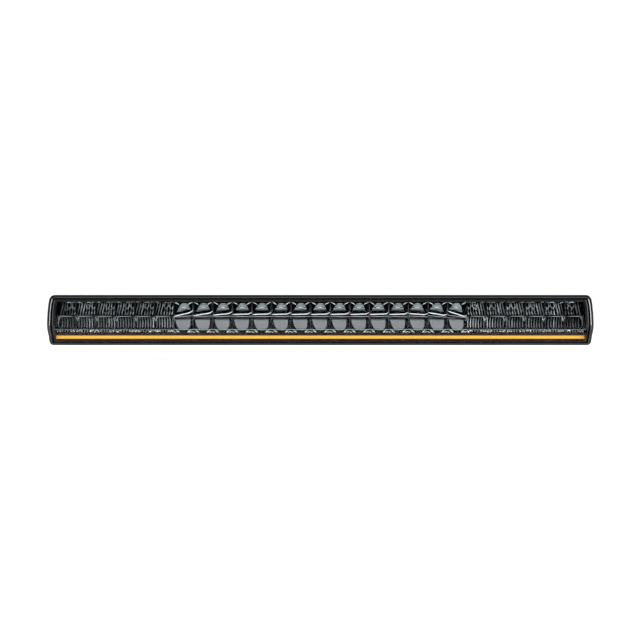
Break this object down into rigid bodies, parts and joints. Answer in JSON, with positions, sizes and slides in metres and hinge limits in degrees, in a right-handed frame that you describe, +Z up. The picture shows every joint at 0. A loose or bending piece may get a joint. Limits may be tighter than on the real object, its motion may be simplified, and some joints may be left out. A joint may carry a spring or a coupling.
{
  "type": "led light bar",
  "caption": "Long double-row LED light bar with an amber position light strip, a clear cover in a black bezel, a finned housing and sliding swivel feet.",
  "frame": {"origin": "centre of the footprint, at the bottom of the bar", "axes": "+X along the bar, to the right as seen from the lit side, -Y out of the lit face, +Z up"},
  "size_m": [0.812, 0.114, 0.075],
  "materials": {
    "black_aluminium": "black anodised, extruded, satin",
    "gloss_black": "moulded, high gloss",
    "clear_cover": "clear polycarbonate, hard coated",
    "seal_rubber": "soft moulded silicone",
    "reflector": "moulded and vacuum metallised, mirror bright",
    "bare_aluminium": "bare extruded aluminium",
    "white_board": "white solder mask",
    "green_board": "green solder mask with components",
    "amber_guide": "amber light guide, lit",
    "black_plastic": "fine moulded texture",
    "black_nylon": "moulded nylon",
    "thermal_pad": "soft filled silicone sheet",
    "steel": "stainless, machined",
    "black_steel": "fine black powder coat"
  },
  "bodies": {
    "bar": {"front_bezel": "gloss_black", "lens": "clear_cover", "lens_gasket": "seal_rubber", "housing": "black_aluminium", "mounting_rail": "black_aluminium", "heat_rail": "bare_aluminium", "thermal_pad": "thermal_pad", "guide_tray": "black_plastic", "light_guide": "amber_guide", "position_board": "white_board", "driver_board": "green_board", "cable_gland": "black_nylon", "gland_nut": "black_nylon", "breather": "black_nylon", "left_end_cap": "black_aluminium", "left_end_gasket": "seal_rubber", "left_end_screw_1": "steel", "left_end_screw_2": "steel", "left_end_screw_3": "steel", "left_end_screw_4": "steel", "right_end_cap": "black_aluminium", "right_end_gasket": "seal_rubber", "right_end_screw_1": "steel", "right_end_screw_2": "steel", "right_end_screw_3": "steel", "right_end_screw_4": "steel", "reflector_1": "reflector", "reflector_2": "reflector", "reflector_3": "reflector", "reflector_4": "reflector", "reflector_5": "reflector", "reflector_6": "reflector", "reflector_7": "reflector", "reflector_8": "reflector", "reflector_9": "reflector", "led_board_upper_1": "white_board", "led_board_upper_2": "white_board", "led_board_upper_3": "white_board", "led_board_lower_1": "white_board", "led_board_lower_2": "white_board", "led_board_lower_3": "white_board"},
    "left_carriage": {"left_slot_nut": "steel", "left_slider": "black_steel", "left_clamp_screw_1": "steel", "left_clamp_screw_2": "steel"},
    "left_swivel": {"left_foot": "black_steel", "left_pivot_bolt": "steel", "left_pivot_washer": "steel", "left_pivot_nut": "steel"},
    "right_carriage": {"right_slot_nut": "steel", "right_slider": "black_steel", "right_clamp_screw_1": "steel", "right_clamp_screw_2": "steel"},
    "right_swivel": {"right_foot": "black_steel", "right_pivot_bolt": "steel", "right_pivot_washer": "steel", "right_pivot_nut": "steel"}
  },
  "joints": [
    {"name": "left_slide", "type": "slide", "parent": "bar", "child": "left_carriage", "axis": [1, 0, 0], "range_m": [-0.11, 0.21]},
    {"name": "left_tilt", "type": "hinge", "parent": "left_carriage", "child": "left_swivel", "pos_m": [-0.25, 0.025, 0.018], "axis": [1, 0, 0], "range_deg": [-90, 60]},
    {"name": "right_slide", "type": "slide", "parent": "bar", "child": "right_carriage", "axis": [1, 0, 0], "range_m": [-0.21, 0.11]},
    {"name": "right_tilt", "type": "hinge", "parent": "right_carriage", "child": "right_swivel", "pos_m": [0.25, 0.025, 0.018], "axis": [1, 0, 0], "range_deg": [-90, 60]}
  ]
}
